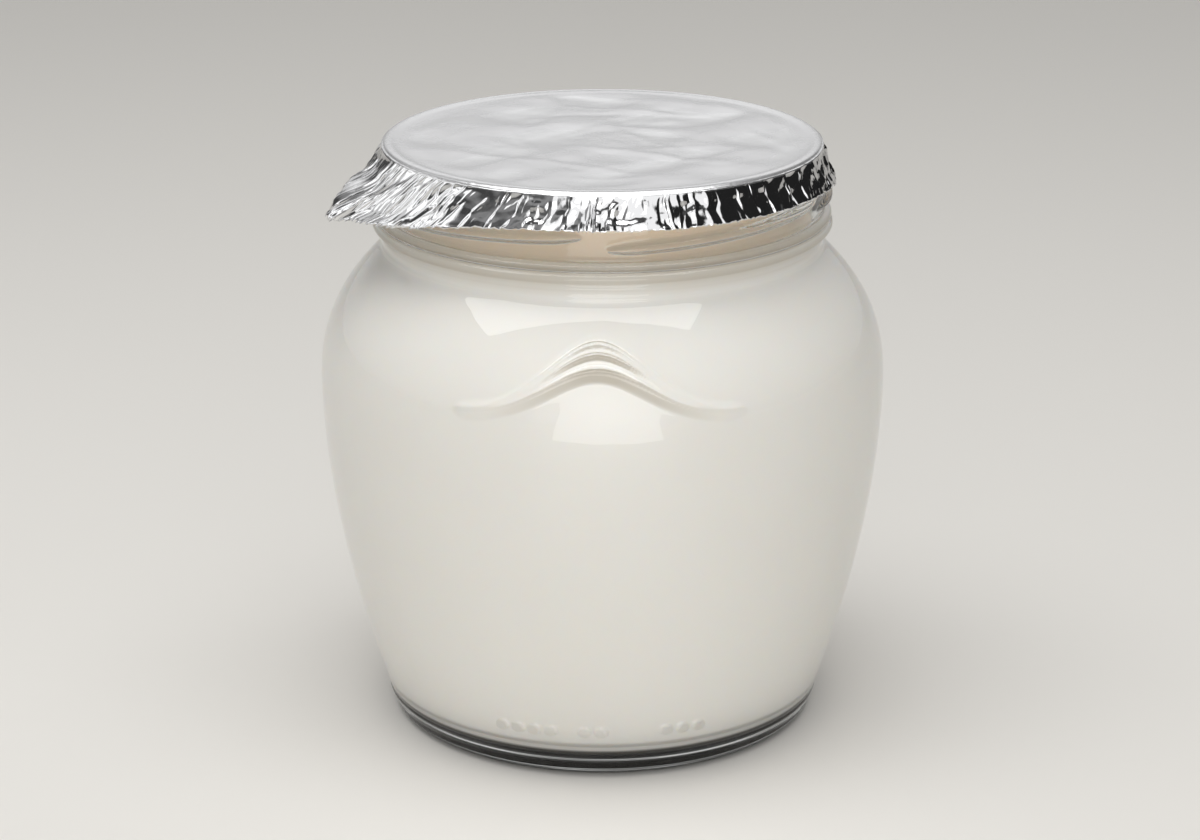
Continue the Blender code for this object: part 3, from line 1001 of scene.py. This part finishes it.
def yogurt_material():
    surface, graph = new_material("yogurt_cream")
    where = graph.place("Object")
    x, y, z = graph.parts(where)
    cloud = graph.noise(where, 35.0, 4.0)
    from_axis = graph.math("ADD", graph.math("MULTIPLY", x, x), graph.math("MULTIPLY", y, y))
    inside = graph.span(from_axis, *(radius**2 for radius in TOP_FADE_R))
    open_top = graph.math("MULTIPLY", inside, graph.math("GREATER_THAN", z, TOP_FROM))
    colour = graph.colour(cloud, *BODY_COLOURS)
    # Painted shade on the yogurt behind the bead, under the lid
    colour = graph.colour(graph.span(z, *NECK_SHADE_FADE), colour, NECK_SHADE_COLOUR)
    # The open top gets a cream tint and painted warm light
    colour = graph.colour(open_top, colour, TOP_CREAM_AND_LIGHT)
    colour = graph.colour(under_strands(graph, x, z), colour, SHADE_COLOUR)
    # Painted shade: a near-black line along the yogurt's edge at the floor
    colour = graph.colour(graph.span(z, *EDGE_SHADE_FADE), colour, EDGE_SHADE_COLOUR)
    cream = graph.shader("ShaderNodeBsdfPrincipled", {
        "Base Color": colour,
        "Roughness": 0.35,
        "Subsurface Weight": 0.6,
        "Subsurface Radius": (1.0, 0.8, 0.6),
        "Subsurface Scale": 0.001,
        "Normal": graph.bump(cloud, 0.2, 0.0003),
    })
    graph.finish("ShaderNodeOutputMaterial", cream)
    return surface


# The skirt is bright and sharp, and above these heights the disc is darker, softer and less metallic
DISC_FROM = (0.1038, 0.1044)
FOIL_COLOURS = ((0.87, 0.87, 0.88), (0.58, 0.58, 0.585))
FOIL_ROUGHNESS = (0.09, 0.27)
FOIL_METALLIC = (1.0, 0.62)


def foil_material():
    surface, graph = new_material("crinkled_foil")
    where = graph.place("Object")
    _, _, z = graph.parts(where)
    disc = graph.span(z, *DISC_FROM)
    foil = graph.shader("ShaderNodeBsdfPrincipled", {
        "Base Color": graph.colour(disc, *FOIL_COLOURS),
        "Roughness": graph.span(z, *DISC_FROM, *FOIL_ROUGHNESS),
        "Metallic": graph.span(z, *DISC_FROM, *FOIL_METALLIC),
        "Normal": graph.bump(graph.noise(where, 500.0, 3.0), 0.35, 0.0001),
    })
    graph.finish("ShaderNodeOutputMaterial", foil)
    return surface


def floor_material():
    surface, graph = new_material("pale_floor")
    values = {"Base Color": (0.80, 0.78, 0.74), "Roughness": 0.9, "Specular IOR Level": 0.1}
    graph.finish("ShaderNodeOutputMaterial", graph.shader("ShaderNodeBsdfPrincipled", values))
    return surface


# Studio

# Brightness of the room round the horizon: bearing from the front in degrees, towards +X, and radiance
BANDS = (
    (-180, 0.30), (-168, 0.20), (-158, 0.06), (-137, 0.06), (-133, 0.55), (-121, 0.55), (-118, 1.25),
    (-106, 1.25), (-101, 0.10), (-97, 0.10), (-94, 1.15), (-82, 1.15), (-78, 0.05), (-62, 0.06),
    (-48, 0.10), (-25, 0.12), (-20, 1.0), (41, 1.0), (46, 0.015), (150, 0.015), (158, 0.3), (180, 0.30),
)
# Above the bands there is a dark ring, and a bright ceiling over it: elevations in degrees, and radiance
RING_RISE = (42, 47)
RING_LEVEL = 0.06
CEILING_RISE = (58, 64)
CEILING_LEVEL = 1.3
# Behind the pot it gets brighter upwards: limits in the direction's y, z and sideways x, and radiance
BEHIND_FROM = (0.3, 0.7)
BEHIND_SLOPE = (0.15, 0.55)
BEHIND_SIDE = (0.50, 0.34)
BEHIND_LEVELS = (0.60, 1.42)
# A lighter stretch at the left: limits in the direction's x and z, and radiance
LEFT_FROM = (-0.15, -0.35)
LEFT_RISE = (0.26, 0.48)
LEFT_LIFT = 0.16
# What clear glass reflects
CALM_LEVEL = 0.50
# Soft light on matt things, stronger from this direction
AMBIENT = 0.20
AMBIENT_LEAN = 0.54
AMBIENT_FROM = (-0.08, -0.72, 0.66)
# What the camera sees
PALE = (0.83, 0.79, 0.70)
# Lights: name, place, turn about X in degrees, size and radiance
OVERHEAD = ("overhead", (-0.08, -0.05, 0.70), 0, (0.88, 0.40), 8.5)
FRONT = ("front", (0.010, -0.28, 0.119), 110, (0.176, 0.202), 3.35)
FRONT_LIGHT_SPREAD = math.radians(140)
# A small lamp for the light that gathers in the clear neck, above the yogurt
GLOW = ("headspace", (0, 0, 0.1030), 0, (0.060, 0.060), 1.25)
GLOW_COLOUR = (1.0, 0.79, 0.66)
FLOOR_SIZE = 10.0
CAMERA_PLACE = (0.0, -0.550, 0.2381)
CAMERA_DOWN = 18.64
CAMERA_LENS = 96.95
CAMERA_SHIFT = -0.0021


def mirrored_room(graph, x, y, z):
    # What the foil reflects
    bearing = graph.math("ARCTAN2", x, graph.math("MULTIPLY", y, -1.0))
    share = graph.math("ADD", graph.math("DIVIDE", bearing, math.tau), 0.5)
    brightest = max(level for _, level in BANDS)
    stops = [((degrees + 180) / 360, level / brightest) for degrees, level in BANDS]
    level = graph.math("MULTIPLY", graph.greys(share, stops), brightest)
    lift = graph.math("MULTIPLY", graph.span(z, *LEFT_RISE, 0.0, LEFT_LIFT), graph.span(x, *LEFT_FROM))
    level = graph.math("ADD", level, lift)
    behind = graph.span(y, *BEHIND_FROM)
    behind = graph.math("MULTIPLY", behind, graph.span(graph.math("ABSOLUTE", x), *BEHIND_SIDE))
    level = graph.mix(behind, level, graph.span(z, *BEHIND_SLOPE, *BEHIND_LEVELS))
    for rise, higher in ((RING_RISE, RING_LEVEL), (CEILING_RISE, CEILING_LEVEL)):
        low, high = (math.sin(math.radians(degrees)) for degrees in rise)
        level = graph.mix(graph.span(z, low, high, kind="SMOOTHSTEP"), level, higher)
    return level


def ambient_light(graph, *direction):
    toward = 0.0
    for part, share in zip(direction, AMBIENT_FROM):
        toward = graph.math("ADD", graph.math("MULTIPLY", part, share), toward)
    toward = graph.math("MAXIMUM", toward, 0.0)
    return graph.math("ADD", graph.math("MULTIPLY", toward, AMBIENT_LEAN), AMBIENT)


def make_world():
    world = bpy.data.worlds.new("studio")
    bpy.context.scene.world = world
    world.use_nodes = True
    graph = Graph(world.node_tree)
    x, y, z = graph.parts(graph.place("Generated"))
    ray = graph.add("ShaderNodeLightPath", {}).outputs
    level = graph.mix(ray["Is Glossy Ray"], ambient_light(graph, x, y, z), mirrored_room(graph, x, y, z))
    level = graph.mix(ray["Is Singular Ray"], level, CALM_LEVEL)
    colour = graph.colour(ray["Is Camera Ray"], level, PALE)
    graph.finish("ShaderNodeOutputWorld", graph.shader("ShaderNodeBackground", {"Color": colour}))


def soft_box(name, place, turn, size, radiance):
    lamp = bpy.data.lights.new(name, "AREA")
    lamp.shape = "RECTANGLE"
    lamp.size, lamp.size_y = size
    lamp.energy = radiance * size[0] * size[1]
    box = bpy.data.objects.new(name, lamp)
    box.location = place
    box.rotation_euler = (math.radians(turn), 0, 0)
    box.visible_camera = False
    bpy.context.scene.collection.objects.link(box)
    return box


def make_lights():
    soft_box(*OVERHEAD)
    soft_box(*FRONT).data.spread = FRONT_LIGHT_SPREAD
    glow = soft_box(*GLOW)
    glow.data.shape = "DISK"
    glow.data.color = GLOW_COLOUR
    glow.visible_glossy = False
    glow.visible_transmission = False


def make_floor():
    bpy.ops.mesh.primitive_plane_add(size=FLOOR_SIZE, location=(0, 0, 0))
    floor = bpy.context.object
    floor.name = "floor"
    floor.data.materials.append(floor_material())


def make_camera():
    lens = bpy.data.cameras.new("camera")
    lens.lens = CAMERA_LENS
    lens.sensor_width = 36.0
    lens.shift_x = CAMERA_SHIFT
    lens.clip_start = 0.01
    camera = bpy.data.objects.new("camera", lens)
    camera.location = CAMERA_PLACE
    camera.rotation_euler = (math.radians(90 - CAMERA_DOWN), 0, 0)
    bpy.context.scene.collection.objects.link(camera)
    bpy.context.scene.camera = camera


jar = make_jar()
jar.data.materials.append(glass_material())
yogurt = make_yogurt()
yogurt.data.materials.append(yogurt_material())
foil = make_foil()
foil.data.materials.append(foil_material())
for piece, node, slot in ((jar, "jar", "glass"), (yogurt, "yogurt", "yogurt"), (foil, "foil_lid", "foil")):
    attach(piece, "root")
    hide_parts(node)

bpy.context.scene.view_settings.view_transform = "Standard"
make_world()
make_lights()
make_floor()
make_camera()
